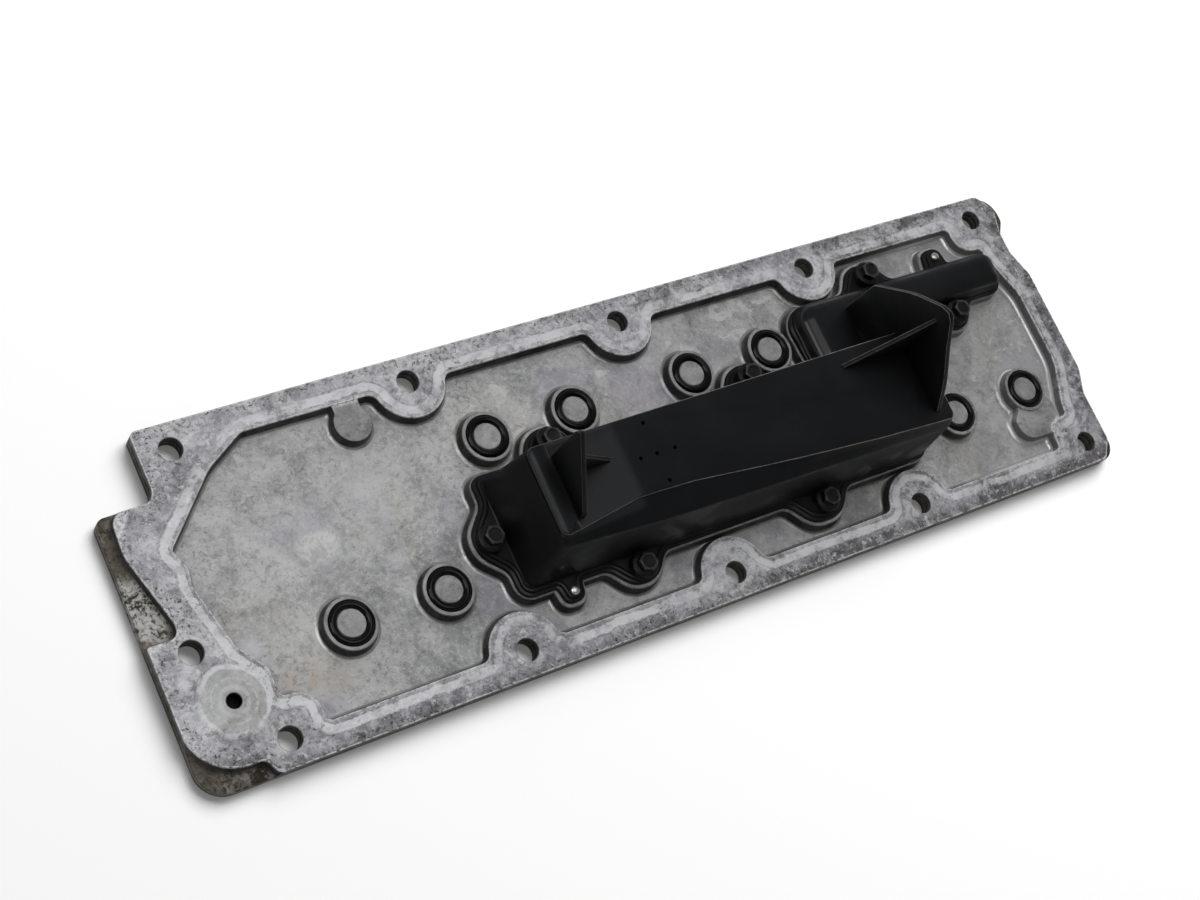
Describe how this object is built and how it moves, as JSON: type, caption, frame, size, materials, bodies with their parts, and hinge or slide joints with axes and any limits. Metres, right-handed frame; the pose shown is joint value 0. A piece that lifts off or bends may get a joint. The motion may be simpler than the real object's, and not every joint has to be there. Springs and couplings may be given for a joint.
{
  "type": "engine valley cover",
  "caption": "Cast valley cover with O-ringed oil plugs and a moulded oil separator housing screwed to its inner side.",
  "frame": {"origin": "middle of the outer face's bounding box, on the plane that the cover lies on", "axes": "+X along the engine, +Z from the outer face into the engine, +Y across"},
  "size_m": [0.509, 0.1536, 0.085],
  "materials": {
    "cast_aluminium": "die-cast, matt, with a stained machined gasket face",
    "black_plastic": "satin glass-filled nylon with oily patches",
    "gasket_rubber": "moulded rubber bead",
    "seal_rubber": "glossy with oil",
    "black_steel": "black phosphate, oily",
    "pin_steel": "bright, domed end"
  },
  "bodies": {
    "root": {"cover_casting": "cast_aluminium", "separator_housing": "black_plastic", "separator_gasket": "gasket_rubber", "oil_seal_1": "seal_rubber", "oil_seal_2": "seal_rubber", "oil_seal_3": "seal_rubber", "oil_seal_4": "seal_rubber", "oil_seal_5": "seal_rubber", "oil_seal_6": "seal_rubber", "oil_seal_7": "seal_rubber", "oil_seal_8": "seal_rubber", "separator_screw_1": "black_steel", "separator_screw_2": "black_steel", "separator_screw_3": "black_steel", "separator_screw_4": "black_steel", "separator_screw_5": "black_steel", "separator_screw_6": "black_steel", "separator_screw_7": "black_steel", "locating_pin_1": "pin_steel", "locating_pin_2": "pin_steel"}
  },
  "joints": []
}
